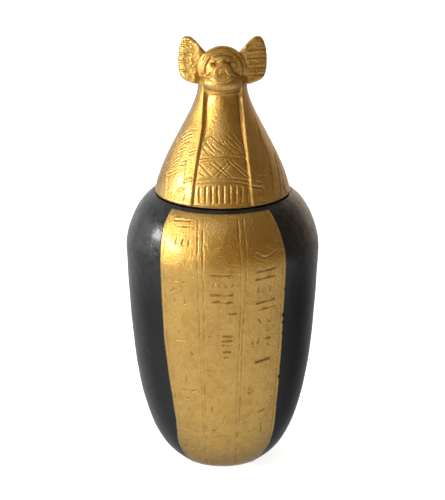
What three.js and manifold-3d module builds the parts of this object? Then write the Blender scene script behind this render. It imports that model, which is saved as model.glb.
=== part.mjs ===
// Souvenir canopic jar with a baboon-headed lid, in millimetres.
// +Z is up, the front faces -Y, and the origin is the centre of the underside.

import * as THREE from "three";
import { mergeVertices } from "three/addons/utils/BufferGeometryUtils.js";
import Module from "manifold-3d";

// Jar body
const JAR_HEIGHT = 96.2;
const BASE_RADIUS = 14;
const HEEL_SPREAD = 17.5;
const HEEL_RISE = 8.5;
const BELLY_RADIUS = 33.3;
const BELLY_HEIGHT = 78;
const FLANK_TAPER = 1.5;
const FLANK_LENGTH = 25.2;
const SHOULDER_RISE = 4.9;
const SEAT_RADIUS = 24;
const SHOULDER_RUN = 4.7;
const SHOULDER_DROP = 1.6;
const WALL = 5;
const FLOOR = 6;
const MOUTH_RADIUS = 15;

// Raised front panel and the lines cut in it
const PANEL_HALF_ANGLE = 39.5;
const PANEL_RAISE = 0.4;
const PANEL_TOP_INSET = 0.7;
const BORDER_INSET_ANGLE = 2.2;
const BORDER_END_INSET = 1.6;
const COLUMN_HALF_WIDTH = 5.3;
const COLUMN_LINE_GAP = 1.2;
const LINE_WIDTH = 0.5;
const LINE_DEPTH = 0.35;
const STROKE_WIDTH = 0.7;
const STROKE_DEPTH = 0.4;

// Lid: seat, wig bell and spigot
const SEAT_GAP = 0.3;
const RIM_SETBACK = 0.8;
const WIG_HEIGHT = 37.1;
const NECK_RADIUS = 8.4;
const WIG_FLARE_REACH = 3;
const WIG_FLARE_RISE = 15.2;
const NECK_LENGTH = 8.6;
const SPIGOT_DEPTH = 4;
const SPIGOT_CLEARANCE = 0.5;
const CHEST_RECESS = 0.6;
const CREASE_TOP_HALF_WIDTH = 7;
const CREASE_RIM_HALF_WIDTH = 10.1;
const FLUTE_PITCH = 2.1;
const FLUTE_COUNT = 9;
const CARVING_WIDTH = 0.55;
const CARVING_DEPTH = 0.35;
const CREASE_KNEE_SHARE = 0.66;
const ARCH_DROP_SHARE = 0.04;
const RIM_BAND_SHARE = 0.05;
const RIM_BAND_ANGLE = 24;
const HATCH_COUNT = 6;
const BACK_LINE_FROM = 120;
const BACK_LINE_TO = 240;
const BACK_LINE_PITCH = 30;

// Head and ears
const HEAD_RADIUS = 8;
const HEAD_RISE = 5.4;
const HEAD_FLATTENING = 0.94;
const EAR_REACH = 15;
const EAR_HEIGHT = 16.4;
const EAR_THICKNESS = 2.6;
const EAR_EDGE = 0.7;
const EAR_DISH = 0.5;
const EAR_GROOVE_WIDTH = 0.8;

// Fineness of the facets
const JAR_SIDES = 36;
const CAVITY_SIDES = 18;
const WIG_SIDES = 40;
const FLANK_STEPS = 8;
const FLANK_CROWDING = 1.5;
const SHOULDER_STEPS = 5;
const WIG_STEPS = 7;
const BALL_SIDES = 20;
const JOWL_SIDES = 16;
const SMALL_FORM_SIDES = 12;
const EYE_SIDES = 8;
const HOOD_RING_SIDES = 22;
const EYE_RING_SIDES = 10;
const RING_TUBE_SIDES = 5;
const EAR_CURVE_STEPS = 5;
const GROOVE_TOLERANCE = 0.15;
const SHORTEST_STRETCH = 2;
const GROOVE_PROUD = 0.5;
const WELD = 1e-4;
const BEYOND = 60;

const wasm = await Module();
wasm.setup();

// Meshes to solids and back

function toSolid(geometry) {
  const bare = geometry.clone();
  bare.deleteAttribute("normal");
  bare.deleteAttribute("uv");
  const merged = mergeVertices(bare, WELD);
  const points = merged.attributes.position.array;
  const corners = merged.index.array;
  const kept = [];
  let volume = 0;
  const a = new THREE.Vector3();
  const b = new THREE.Vector3();
  const c = new THREE.Vector3();
  for (let i = 0; i < corners.length; i += 3) {
    const [p, q, r] = [corners[i], corners[i + 1], corners[i + 2]];
    if (p === q || q === r || r === p) continue;
    kept.push(p, q, r);
    a.fromArray(points, 3 * p);
    b.fromArray(points, 3 * q);
    c.fromArray(points, 3 * r);
    volume += a.dot(b.cross(c));
  }
  if (volume < 0) kept.reverse();
  return new wasm.Manifold(new wasm.Mesh({
    numProp: 3,
    vertProperties: new Float32Array(points),
    triVerts: new Uint32Array(kept),
  }));
}

function toMesh(solid, name, material) {
  const data = solid.getMesh();
  const geometry = new THREE.BufferGeometry();
  geometry.setAttribute("position", new THREE.BufferAttribute(data.vertProperties, 3));
  geometry.setIndex(new THREE.BufferAttribute(data.triVerts, 1));
  geometry.computeVertexNormals();
  const mesh = new THREE.Mesh(geometry, material);
  mesh.name = name;
  return mesh;
}

function joined(solids) {
  return solids.reduce((whole, solid) => whole.add(solid));
}

// Outlines turned round the axis: each is a list of (radius, height) points

function bezier(steps, crowding, ...corners) {
  const [a, b, c, d] = corners.map(([radius, height]) => new THREE.Vector2(radius, height));
  const curve = new THREE.CubicBezierCurve(a, b, c, d);
  return Array.from({ length: steps + 1 }, (_, i) => curve.getPoint((i / steps) ** crowding));
}

function offsetOutline(points, distance) {
  return points.map((point, i) => {
    const before = points[Math.max(i - 1, 0)];
    const after = points[Math.min(i + 1, points.length - 1)];
    const along = after.clone().sub(before).normalize();
    return new THREE.Vector2(point.x + along.y * distance, point.y - along.x * distance);
  });
}

function turned(points, sides) {
  const closed = [new THREE.Vector2(0, points[0].y), ...points, new THREE.Vector2(0, points.at(-1).y)];
  const lathe = new THREE.LatheGeometry(closed, sides);
  return toSolid(lathe.rotateX(Math.PI / 2));
}

// A place on a turned surface: angle in degrees from the front, towards +X

function surfaceOf(points, lift = 0) {
  return (angle, height, offset) => {
    let i = points.findIndex((point) => point.y > height);
    i = i < 0 ? points.length - 1 : Math.max(i, 1);
    const [low, high] = [points[i - 1], points[i]];
    const share = (height - low.y) / (high.y - low.y);
    const along = high.clone().sub(low).normalize();
    const radius = low.x + share * (high.x - low.x) + along.y * (offset + lift);
    const turn = THREE.MathUtils.degToRad(angle);
    return new THREE.Vector3(
      radius * Math.sin(turn),
      -radius * Math.cos(turn),
      height - along.x * (offset + lift),
    );
  };
}

function angleAcross(surface, x, height) {
  const front = surface(0, height, 0);
  return THREE.MathUtils.radToDeg(Math.asin(THREE.MathUtils.clamp(x / -front.y, -1, 1)));
}

// The points that a straight stretch needs after its start to follow the surface
function stretch(surface, from, to) {
  const start = surface(...from, 0);
  const end = surface(...to, 0);
  const chordMiddle = start.clone().add(end).multiplyScalar(0.5);
  const surfaceRadius = -surface(0, chordMiddle.z, 0).y;
  const sag = Math.abs(surfaceRadius - Math.hypot(chordMiddle.x, chordMiddle.y));
  if (sag < GROOVE_TOLERANCE || start.distanceTo(end) < SHORTEST_STRETCH) return [to];
  const middle = [(from[0] + to[0]) / 2, (from[1] + to[1]) / 2];
  return [...stretch(surface, from, middle), ...stretch(surface, middle, to)];
}

// A V-shaped cutter bent along a line of [angle, height] points on a surface
function groove(surface, line, width, depth) {
  const places = [line[0]];
  for (let i = 1; i < line.length; i++) places.push(...stretch(surface, line[i - 1], line[i]));
  const frames = places.map((place, i) => {
    const before = surface(...places[Math.max(i - 1, 0)], 0);
    const after = surface(...places[Math.min(i + 1, places.length - 1)], 0);
    const at = surface(...place, 0);
    const out = surface(...place, 1).sub(at);
    const across = out.clone().cross(after.sub(before)).normalize();
    return { at, out, across };
  });
  const last = frames.length - 1;
  const box = new THREE.BoxGeometry(1, 1, 1, last, 1, 1);
  const position = box.attributes.position;
  const corner = new THREE.Vector3();
  for (let i = 0; i < position.count; i++) {
    corner.fromBufferAttribute(position, i);
    const { at, out, across } = frames[Math.round((corner.x + 0.5) * last)];
    const outer = corner.z > 0;
    const half = outer ? corner.y * width : 0;
    const place = at.clone().addScaledVector(across, half)
      .addScaledVector(out, outer ? GROOVE_PROUD : -depth);
    position.setXYZ(i, place.x, place.y, place.z);
  }
  return toSolid(box);
}

// Grooves drawn on the front, as lines of [x, height] points
function frontGrooves(surface, lines, width, depth) {
  return lines.map((line) => {
    const onSurface = line.map(([x, height]) => [angleAcross(surface, x, height), height]);
    return groove(surface, onSurface, width, depth);
  });
}

// The jar

const jarOutline = [
  ...bezier(
    FLANK_STEPS,
    FLANK_CROWDING,
    [BASE_RADIUS, 0],
    [BASE_RADIUS + HEEL_SPREAD, HEEL_RISE],
    [BELLY_RADIUS - FLANK_TAPER, BELLY_HEIGHT - FLANK_LENGTH],
    [BELLY_RADIUS, BELLY_HEIGHT],
  ),
  ...bezier(
    SHOULDER_STEPS,
    1,
    [BELLY_RADIUS, BELLY_HEIGHT],
    [BELLY_RADIUS, BELLY_HEIGHT + SHOULDER_RISE],
    [SEAT_RADIUS + SHOULDER_RUN, JAR_HEIGHT - SHOULDER_DROP],
    [SEAT_RADIUS, JAR_HEIGHT],
  ).slice(1),
];
const panelTop = JAR_HEIGHT - PANEL_TOP_INSET;

function jarCavity() {
  const roof = JAR_HEIGHT - WALL;
  const inner = offsetOutline(jarOutline, -WALL).filter(
    (point, i) => i % 2 === 0 && point.y > FLOOR && point.y < roof,
  );
  const floorRadius = inner[0].x - (inner[0].y - FLOOR);
  return turned([
    new THREE.Vector2(floorRadius, FLOOR),
    ...inner,
    new THREE.Vector2(inner.at(-1).x - WALL / 2, roof),
    new THREE.Vector2(MOUTH_RADIUS, roof),
    new THREE.Vector2(MOUTH_RADIUS, JAR_HEIGHT + WALL),
  ], CAVITY_SIDES);
}

function panelSlab() {
  const half = THREE.MathUtils.degToRad(PANEL_HALF_ANGLE);
  const sector = new THREE.Shape([
    new THREE.Vector2(0, 0),
    new THREE.Vector2(-BEYOND * Math.sin(half), -BEYOND * Math.cos(half)),
    new THREE.Vector2(0, -BEYOND),
    new THREE.Vector2(BEYOND * Math.sin(half), -BEYOND * Math.cos(half)),
  ]);
  const wedge = toSolid(new THREE.ExtrudeGeometry(sector, { depth: panelTop, bevelEnabled: false }));
  return turned(offsetOutline(jarOutline, PANEL_RAISE), JAR_SIDES).intersect(wedge);
}

// Short strokes as lines of [x, height] points, placed by a share of the jar's height
function bar(x, share, length, slope = 0) {
  const height = share * JAR_HEIGHT;
  return [[x - length / 2, height - slope / 2], [x + length / 2, height + slope / 2]];
}

function tick(x, share, length, lean = 0) {
  const height = share * JAR_HEIGHT;
  return [[x - lean / 2, height + length / 2], [x + lean / 2, height - length / 2]];
}

function chevron(x, share, width, rise) {
  const height = share * JAR_HEIGHT;
  return [[x - width / 2, height + rise], [x, height], [x + width / 2, height + rise]];
}

// Rows of plain strokes in the three columns, from the top down
const leftStrokes = [
  bar(-13.2, 0.967, 6.4),
  tick(-15.2, 0.915, 4.6),
  tick(-11.3, 0.921, 3.6),
  tick(-12, 0.873, 3.6, -2.4),
  bar(-14.2, 0.769, 3.2),
  tick(-13.4, 0.728, 1.6),
  tick(-12.3, 0.686, 2),
  tick(-14.4, 0.587, 2, -1.2),
  tick(-10.2, 0.515, 1.8, -0.8),
  tick(-12, 0.405, 2),
  chevron(-11.2, 0.353, 4.2, -0.8),
];
const middleStrokes = [
  chevron(0, 0.896, 4.4, -0.8),
  bar(0, 0.798, 6.6),
  ...[-2.8, -0.3, 1.7, 3.7].map((x) => tick(x, 0.761, 2.2)),
  bar(-0.3, 0.723, 7.4),
  tick(-0.6, 0.709, 1.9),
  bar(-0.2, 0.692, 6.8),
  chevron(3.6, 0.651, 2, 1.6),
  ...[0.57, 0.553, 0.536].map((share) => bar(1.7, share, 3.2)),
  bar(1.5, 0.507, 2.8),
  tick(-1, 0.312, 1.8),
  tick(2, 0.314, 1.2),
  bar(-3, 0.198, 1.6, 0.4),
];
const rightStrokes = [
  chevron(14.6, 0.852, 6, 2.4),
  bar(14.6, 0.792, 6.2, 0.8),
  tick(12, 0.765, 3),
  bar(14.2, 0.742, 6.8, 0.8),
  bar(14.4, 0.661, 6, 2.6),
  chevron(13, 0.609, 3, 1.8),
  chevron(15.6, 0.611, 2.6, 1.8),
  bar(15.4, 0.557, 1.8, 0.5),
  chevron(10.2, 0.511, 2.4, -1.6),
  tick(15, 0.516, 2, 0.6),
  bar(13.4, 0.447, 5.2, 1.6),
  ...[0.356, 0.337].map((share) => bar(9.4, share, 1.6)),
  bar(13.2, 0.264, 3.4, 1),
  tick(13, 0.183, 3.8),
];

function jarSolid() {
  const body = turned(jarOutline, JAR_SIDES).add(panelSlab());
  const face = surfaceOf(jarOutline, PANEL_RAISE);
  const borderAngle = PANEL_HALF_ANGLE - BORDER_INSET_ANGLE;
  const borderTop = panelTop - BORDER_END_INSET;
  const border = [
    [-borderAngle, BORDER_END_INSET],
    [-borderAngle, borderTop],
    [0, borderTop],
    [borderAngle, borderTop],
    [borderAngle, BORDER_END_INSET],
  ];
  const columnLines = [];
  for (const side of [-1, 1]) {
    for (const x of [COLUMN_HALF_WIDTH, COLUMN_HALF_WIDTH + COLUMN_LINE_GAP]) {
      columnLines.push([[side * x, BORDER_END_INSET], [side * x, BELLY_HEIGHT], [side * x, borderTop]]);
    }
  }
  const strokes = [...leftStrokes, ...middleStrokes, ...rightStrokes];
  const cuts = joined([
    groove(face, border, LINE_WIDTH, LINE_DEPTH),
    ...frontGrooves(face, columnLines, LINE_WIDTH, LINE_DEPTH),
    ...frontGrooves(face, strokes, STROKE_WIDTH, STROKE_DEPTH),
  ]);
  return body.subtract(jarCavity()).subtract(cuts);
}

// The lid

const rimHeight = JAR_HEIGHT + SEAT_GAP;
const neckHeight = rimHeight + WIG_HEIGHT;
const rimRadius = SEAT_RADIUS - RIM_SETBACK;
const headHeight = neckHeight + HEAD_RISE;
const wigOutline = bezier(
  WIG_STEPS,
  1,
  [rimRadius, rimHeight],
  [rimRadius - WIG_FLARE_REACH, rimHeight + WIG_FLARE_RISE],
  [NECK_RADIUS, neckHeight - NECK_LENGTH],
  [NECK_RADIUS, neckHeight],
);
const wigShare = (share) => rimHeight + share * WIG_HEIGHT;

function wigBell() {
  const top = new THREE.Vector2(NECK_RADIUS * HEAD_FLATTENING, headHeight - HEAD_RADIUS / 4);
  return turned([...wigOutline, top], WIG_SIDES);
}

function spigot() {
  const radius = MOUTH_RADIUS - SPIGOT_CLEARANCE;
  return turned([
    new THREE.Vector2(radius, rimHeight - SPIGOT_DEPTH),
    new THREE.Vector2(radius, rimHeight + SPIGOT_DEPTH),
  ], CAVITY_SIDES);
}

// The chest between the two front edges of the wig lies a little deeper than the wig
function chestCutter() {
  const knee = wigShare(CREASE_KNEE_SHARE);
  const outline = new THREE.Shape([
    new THREE.Vector2(-CREASE_RIM_HALF_WIDTH, rimHeight - CHEST_RECESS),
    new THREE.Vector2(CREASE_RIM_HALF_WIDTH, rimHeight - CHEST_RECESS),
    new THREE.Vector2(CREASE_TOP_HALF_WIDTH, knee),
    new THREE.Vector2(CREASE_TOP_HALF_WIDTH, neckHeight),
    new THREE.Vector2(-CREASE_TOP_HALF_WIDTH, neckHeight),
    new THREE.Vector2(-CREASE_TOP_HALF_WIDTH, knee),
  ]);
  const prism = new THREE.ExtrudeGeometry(outline, { depth: BEYOND, bevelEnabled: false });
  const inner = offsetOutline(wigOutline, -CHEST_RECESS);
  const core = turned([
    new THREE.Vector2(inner[0].x, rimHeight - WALL),
    ...inner,
    new THREE.Vector2(inner.at(-1).x, neckHeight + WALL),
  ], WIG_SIDES);
  return toSolid(prism.rotateX(Math.PI / 2)).subtract(core);
}

// Lines on the chest, as [x, share of the wig's height] points
function chestLines() {
  const arch = (share, x) => share - ARCH_DROP_SHARE * (x / CREASE_RIM_HALF_WIDTH) ** 2;
  const lines = [];
  for (const [share, half] of [[0.22, 9.4], [0.25, 9.2], [0.44, 8.2], [0.47, 8]]) {
    lines.push([-half, 0, half].map((x) => [x, arch(share, x)]));
  }
  for (let i = 0; i < FLUTE_COUNT; i++) {
    const x = (i - (FLUTE_COUNT - 1) / 2) * FLUTE_PITCH;
    lines.push([[x, 0.06], [x, arch(0.2, x)]]);
  }
  lines.push(
    [[-8.6, 0.4], [-3, 0.285]],
    [[-8.9, 0.335], [-6.2, 0.28]],
    [[-3.2, 0.415], [1.6, 0.28]],
    [[3.1, 0.415], [-2, 0.28]],
    [[2.1, 0.42], [8.2, 0.275]],
    [[3.9, 0.415], [8.8, 0.3]],
  );
  return lines.map((line) => line.map(([x, share]) => [x, wigShare(share)]));
}

// Lines on the wig's sides and back, as [angle, share of the wig's height] points
function wigLines() {
  const lines = [
    [[-36, 0.04], [-36, 0.38]],
    [[-49.5, 0.04], [-49.5, 0.24]],
    [[-60, 0.04], [-60, 0.2]],
    [[40, 0.02], [38, 0.14], [49, 0.44]],
    [[48.5, 0.02], [56.5, 0.36]],
    [[59, 0.02], [65, 0.26]],
    [[72, 0.02], [80, 0.3]],
  ];
  for (let i = 0; i < HATCH_COUNT; i++) {
    lines.push([[-66 - 5 * i, 0.05 + 0.07 * i], [-52 - 4 * i, 0.28 + 0.08 * i]]);
  }
  for (let angle = BACK_LINE_FROM; angle <= BACK_LINE_TO; angle += BACK_LINE_PITCH) {
    lines.push([[angle, 0.07], [angle, 0.72]]);
  }
  return lines.map((line) => line.map(([angle, share]) => [angle, wigShare(share)]));
}

// Forms of the head, in shares of the head's radius from its centre

function ball(centre, radii, sides) {
  const sphere = new THREE.SphereGeometry(HEAD_RADIUS, sides, Math.ceil(sides * 0.6));
  sphere.rotateX(Math.PI / 2);
  sphere.scale(...radii);
  sphere.translate(centre[0] * HEAD_RADIUS, centre[1] * HEAD_RADIUS, centre[2] * HEAD_RADIUS + headHeight);
  return toSolid(sphere);
}

function ring(radius, thickness, centre, sides) {
  const tube = thickness * HEAD_RADIUS;
  const torus = new THREE.TorusGeometry(radius * HEAD_RADIUS, tube, RING_TUBE_SIDES, sides);
  torus.rotateX(Math.PI / 2);
  torus.translate(centre[0] * HEAD_RADIUS, centre[1] * HEAD_RADIUS, centre[2] * HEAD_RADIUS + headHeight);
  return toSolid(torus);
}

function headForms() {
  const forms = [
    ball([0, 0, 0], [1, HEAD_FLATTENING, HEAD_FLATTENING], BALL_SIDES),
    ring(0.78, 0.08, [0, -0.5, 0.06], HOOD_RING_SIDES),
    ring(0.88, 0.07, [0, -0.28, 0.02], HOOD_RING_SIDES),
    ball([0, -0.92, 0.1], [0.29, 0.56, 0.36], SMALL_FORM_SIDES),
    ball([0, -0.94, -0.2], [0.53, 0.66, 0.43], SMALL_FORM_SIDES),
    ball([0, -0.84, -0.47], [0.84, 0.75, 0.31], JOWL_SIDES),
    ball([0, -0.8, -0.73], [0.77, 0.66, 0.16], JOWL_SIDES),
  ];
  for (const side of [-1, 1]) {
    forms.push(ball([side * 0.5, -0.68, 0.39], [0.14, 0.14, 0.11], EYE_SIDES));
    forms.push(ring(0.21, 0.035, [side * 0.5, -0.73, 0.39], EYE_RING_SIDES));
  }
  return forms;
}

function ear(side) {
  const inner = HEAD_RADIUS * 0.6;
  const middle = headHeight + HEAD_RADIUS * 0.34;
  const top = middle + EAR_HEIGHT / 2 - EAR_EDGE;
  const bottom = middle - EAR_HEIGHT / 2 + EAR_EDGE;
  const outer = EAR_REACH - EAR_EDGE;
  const width = outer - inner;
  const outline = new THREE.Shape();
  outline.moveTo(inner, bottom + EAR_HEIGHT * 0.04);
  outline.lineTo(inner + width * 0.45, bottom + EAR_HEIGHT * 0.03);
  outline.bezierCurveTo(
    inner + width * 0.85, bottom + EAR_HEIGHT * 0.06,
    outer - width * 0.02, bottom + EAR_HEIGHT * 0.08,
    outer, bottom + EAR_HEIGHT * 0.27,
  );
  outline.bezierCurveTo(
    outer, middle + EAR_HEIGHT * 0.2,
    outer - width * 0.1, top,
    outer - width * 0.35, top,
  );
  outline.bezierCurveTo(
    outer - width * 0.6, top,
    inner + width * 0.2, middle + EAR_HEIGHT * 0.28,
    inner, middle + EAR_HEIGHT * 0.18,
  );
  const plate = new THREE.ExtrudeGeometry(outline, {
    depth: EAR_THICKNESS - 2 * EAR_EDGE,
    bevelThickness: EAR_EDGE,
    bevelSize: EAR_EDGE,
    bevelSegments: 1,
    curveSegments: EAR_CURVE_STEPS,
  });
  plate.rotateX(Math.PI / 2);
  plate.translate(0, EAR_THICKNESS / 2 - EAR_EDGE, 0);
  const dish = new THREE.SphereGeometry(1, SMALL_FORM_SIDES, EYE_SIDES);
  dish.scale(width * 0.5, EAR_DISH * 2, EAR_HEIGHT * 0.4);
  dish.translate(inner + width * 0.55, -EAR_THICKNESS / 2 - EAR_DISH, middle);
  let solid = toSolid(plate).subtract(toSolid(dish));
  const grooveLength = width * 0.4;
  for (const share of [-0.24, -0.07, 0.1, 0.26, 0.38]) {
    const bite = new THREE.BoxGeometry(grooveLength, EAR_GROOVE_WIDTH, EAR_GROOVE_WIDTH);
    bite.rotateX(Math.PI / 4);
    bite.translate(outer - width * 0.1, -EAR_THICKNESS / 2, middle + share * EAR_HEIGHT);
    solid = solid.subtract(toSolid(bite));
  }
  return side > 0 ? solid : solid.mirror([1, 0, 0]);
}

function lidSolid() {
  const wig = surfaceOf(wigOutline);
  const chest = surfaceOf(wigOutline, -CHEST_RECESS);
  const band = [-1, -0.5, 0, 0.5, 1].map((turn) => [turn * RIM_BAND_ANGLE, wigShare(RIM_BAND_SHARE)]);
  const cuts = joined([
    chestCutter(),
    ...frontGrooves(chest, chestLines(), CARVING_WIDTH, CARVING_DEPTH),
    ...wigLines().map((line) => groove(wig, line, CARVING_WIDTH, CARVING_DEPTH)),
    groove(chest, band, CARVING_WIDTH, CARVING_DEPTH),
  ]);
  const bell = wigBell().subtract(cuts);
  return joined([bell, spigot(), ...headForms(), ear(-1), ear(1)]);
}

// Finishes

const blackPaint = new THREE.MeshStandardMaterial({ color: 0x232326, roughness: 0.38, metalness: 0.0 });
const goldPaint = new THREE.MeshStandardMaterial({ color: 0xc9973f, roughness: 0.36, metalness: 0.85 });

const canopicJar = new THREE.Group();
canopicJar.add(toMesh(jarSolid(), "jar", blackPaint));
canopicJar.add(toMesh(lidSolid(), "lid", goldPaint));

export default canopicJar;
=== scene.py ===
"""Souvenir canopic jar: a black and gold cast resin body with a baboon-headed gold lid.

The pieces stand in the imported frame: metres, +Z up, the front faces -Y.
Shapes are worked out in millimetres and scaled once, when a piece is finished.
"""

import math

import bmesh
import bpy
import numpy as np
from bpy.props import FloatProperty, FloatVectorProperty, PointerProperty
from mathutils import Matrix, Vector, noise


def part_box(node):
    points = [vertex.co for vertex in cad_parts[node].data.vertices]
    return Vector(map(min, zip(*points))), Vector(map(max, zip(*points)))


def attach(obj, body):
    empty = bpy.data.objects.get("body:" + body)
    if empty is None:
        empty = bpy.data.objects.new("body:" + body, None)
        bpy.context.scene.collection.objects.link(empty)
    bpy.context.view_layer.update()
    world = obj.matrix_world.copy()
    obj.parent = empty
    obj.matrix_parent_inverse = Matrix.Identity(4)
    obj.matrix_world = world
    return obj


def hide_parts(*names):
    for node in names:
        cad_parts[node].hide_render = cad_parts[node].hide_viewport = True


bl_info = {
    "name": "Canopic jar",
    "version": (1, 0, 0),
    "blender": (4, 5, 0),
    "location": "View3D > Sidebar > Canopic jar",
    "description": "Makes a souvenir canopic jar, its baboon-headed lid and a plain studio",
    "category": "Add Mesh",
}

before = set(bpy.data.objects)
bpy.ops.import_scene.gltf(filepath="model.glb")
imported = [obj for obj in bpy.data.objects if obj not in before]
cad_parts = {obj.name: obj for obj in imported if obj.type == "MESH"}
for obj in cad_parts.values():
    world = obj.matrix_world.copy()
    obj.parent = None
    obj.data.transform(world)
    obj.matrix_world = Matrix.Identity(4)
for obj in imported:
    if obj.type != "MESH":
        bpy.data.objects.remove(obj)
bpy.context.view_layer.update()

MM = 0.001
JAR_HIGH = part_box("jar")[1]


# Sizes and finishes that a user would change


def length_setting(name, description, default):
    return FloatProperty(name=name, description=description, default=default, unit="LENGTH")


def colour_setting(name, description, default):
    return FloatVectorProperty(name=name, description=description, default=default, size=3, subtype="COLOR")


def strength_setting(name, description, default):
    return FloatProperty(name=name, description=description, default=default, min=0.0)


class JarSizes(bpy.types.PropertyGroup):
    """Sizes of the jar's body."""

    height: length_setting("Height", "Height of the seat that the lid rests on", JAR_HIGH.z)
    base_radius: length_setting("Base radius", "Radius of the flat underside", 0.014)
    belly_radius: length_setting("Belly radius", "Largest radius of the body", JAR_HIGH.x)
    belly_height: length_setting("Belly height", "Height of the largest radius", 0.078)
    seat_radius: length_setting("Seat radius", "Radius where the shoulder meets the seat", 0.024)
    wall: length_setting("Wall", "Thickness of the wall", 0.005)
    floor: length_setting("Floor", "Thickness of the bottom", 0.006)
    mouth_radius: length_setting("Mouth radius", "Radius of the opening under the lid", 0.015)
    panel_raise: length_setting("Panel raise", "How far the gold panel stands proud", 0.0004)
    line_depth: length_setting("Line depth", "Depth of the border and column lines", 0.00026)
    stroke_depth: length_setting("Stroke depth", "Depth of the short strokes", 0.00032)


class LidSizes(bpy.types.PropertyGroup):
    """Sizes of the lid."""

    rim_height: length_setting("Rim height", "Height of the wig's lower rim", 0.0965)
    rim_radius: length_setting("Rim radius", "Radius of the wig's lower rim", 0.0232)
    neck_radius: length_setting("Neck radius", "Radius of the wig under the head", 0.0084)
    wig_height: length_setting("Wig height", "Height of the wig from its rim to the head", 0.0371)
    chest_recess: length_setting("Chest recess", "How far the chest lies behind the wig's edges", 0.0006)
    carving_depth: length_setting("Carving depth", "Depth of the lines on the wig and the chest", 0.0004)
    head_radius: length_setting("Head radius", "Radius of the hood", 0.008)
    ear_thickness: length_setting("Ear thickness", "Thickness of the ears", 0.0026)


class PaintColours(bpy.types.PropertyGroup):
    """Colours of the two paints."""

    gold: colour_setting("Gold", "Metallic gold paint", (0.56, 0.336, 0.078))
    gold_shade: colour_setting("Gold shade", "Browner gold where the paint is thin", (0.36, 0.19, 0.032))
    # Brown in the cut lines: partly grime, partly painted shade where the hollows fall dark
    grime_and_painted_shade: colour_setting("Grime", "Brown left in the cut lines", (0.11, 0.048, 0.010))
    # A painted highlight: a pale line on the panel's raised edge, where it would catch the light
    painted_edge_highlight: colour_setting("Worn edge", "Pale line along the panel's rubbed edge", (0.74, 0.6, 0.32))
    black: colour_setting("Black", "Semi-gloss black paint", (0.005, 0.005, 0.006))
    scuff: colour_setting("Scuff", "Greyer black where the shoulders are rubbed", (0.026, 0.027, 0.030))


class StudioSettings(bpy.types.PropertyGroup):
    """Strengths of the studio's lights."""

    window: strength_setting("Window", "Power of the low wide light at the left", 1.45)
    ceiling: strength_setting("Ceiling", "Power of the soft light above the front", 0.58)
    side_window: strength_setting("Side window", "Power of the large soft light at the left", 0.34)
    left_room: strength_setting("Left room", "Brightness of the room at the left", 0.62)
    right_room: strength_setting("Right room", "Brightness of the room at the right", 0.26)
    right_colour: colour_setting("Right colour", "Warm tint of the room at the right", (1.0, 0.8, 0.62))
    table: strength_setting("Table", "Brightness of the table that the lower half reflects", 1.18)
    front_shade: colour_setting("Front shade", "Colour of the dim room in front", (0.28, 0.13, 0.035))


# Outlines as (radius, height) points in millimetres


def bezier(corners, count):
    """Points along the curve of four corners, whose two inner ones pull it."""
    share = np.linspace(0, 1, count)[:, None]
    a, b, c, d = (np.array(corner, float) for corner in corners)
    rest = 1 - share
    return rest**3 * a + 3 * rest**2 * share * b + 3 * rest * share**2 * c + share**3 * d


def evenly(points, pitch):
    """The same outline with points about one pitch apart."""
    reach = travelled(points)
    count = max(int(round(reach[-1] / pitch)), 1) + 1
    places = np.linspace(0, reach[-1], count)
    return np.stack([np.interp(places, reach, points[:, i]) for i in (0, 1)], axis=1)


def travelled(points):
    """How far along the line each of its points is."""
    return np.concatenate([[0], np.cumsum(np.linalg.norm(np.diff(points, axis=0), axis=1))])


def offset(points, distance):
    """The same outline moved sideways, outwards for one that runs upwards."""
    along = np.gradient(points, axis=0)
    along /= np.linalg.norm(along, axis=1)[:, None]
    return points + distance * np.stack([along[:, 1], -along[:, 0]], axis=1)


def smoothstep(low, high, value):
    """Runs smoothly from 0 to 1 as the value goes from low to high."""
    share = np.clip((value - low) / (high - low), 0, 1)
    return share * share * (3 - 2 * share)


# Turned shells with finer columns at the front


# How far a point may lie behind a turned surface and still belong to its outside
SKIN_GAP = 0.6


def column_turns(fine, coarse, front_half):
    """Angles from 0 to 2 pi whose steps, in degrees, are fine near the front and coarse behind."""
    fine, coarse, front_half = (math.radians(turn) for turn in (fine, coarse, front_half))
    angle = np.linspace(0, math.pi, 2000)
    blend = smoothstep(front_half, front_half + 0.35, angle)
    density = 1 / (fine + (coarse - fine) * blend)
    progress = np.concatenate([[0], np.cumsum((density[1:] + density[:-1]) / 2 * np.diff(angle))])
    half = int(math.ceil(progress[-1]))
    turns = np.interp(np.arange(half + 1) / half * progress[-1], progress, angle)
    return np.concatenate([turns, (2 * math.pi - turns[1:-1])[::-1], [2 * math.pi]])


def turned_shell(name, outline, turns):
    """A closed mesh that spins the outline round the Z axis, both of its ends on the axis."""
    shell = bmesh.new()
    corners = [shell.verts.new((0, -radius, height)) for radius, height in outline]
    edges = [shell.edges.new(pair) for pair in zip(corners, corners[1:])]
    bmesh.ops.spin(
        shell,
        geom=corners + edges,
        cent=(0, 0, 0),
        axis=(0, 0, 1),
        angle=2 * math.pi,
        steps=len(turns) - 1,
        use_merge=True,
    )
    bmesh.ops.remove_doubles(shell, verts=shell.verts, dist=1e-5)
    bmesh.ops.recalc_face_normals(shell, faces=shell.faces)
    mesh = mesh_from(shell, name)
    points = read(mesh, "co")
    even = np.linspace(0, 2 * math.pi, len(turns))
    angle = np.interp(front_angle(points) % (2 * math.pi), even, turns)
    write(mesh, turn_to(points, angle))
    return mesh


def mesh_from(shape, name):
    """A mesh with the bmesh's shape, which is freed."""
    mesh = bpy.data.meshes.new(name)
    shape.to_mesh(mesh)
    shape.free()
    return mesh


def front_angle(points):
    """The angle of each point round the Z axis: 0 at the front, growing towards +X."""
    return np.arctan2(points[:, 0], -points[:, 1])


def turn_to(points, angle):
    """The points at the given angles from the front, with their radius and height as they were."""
    radius = np.hypot(points[:, 0], points[:, 1])
    return np.stack([radius * np.sin(angle), -radius * np.cos(angle), points[:, 2]], axis=1)


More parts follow.
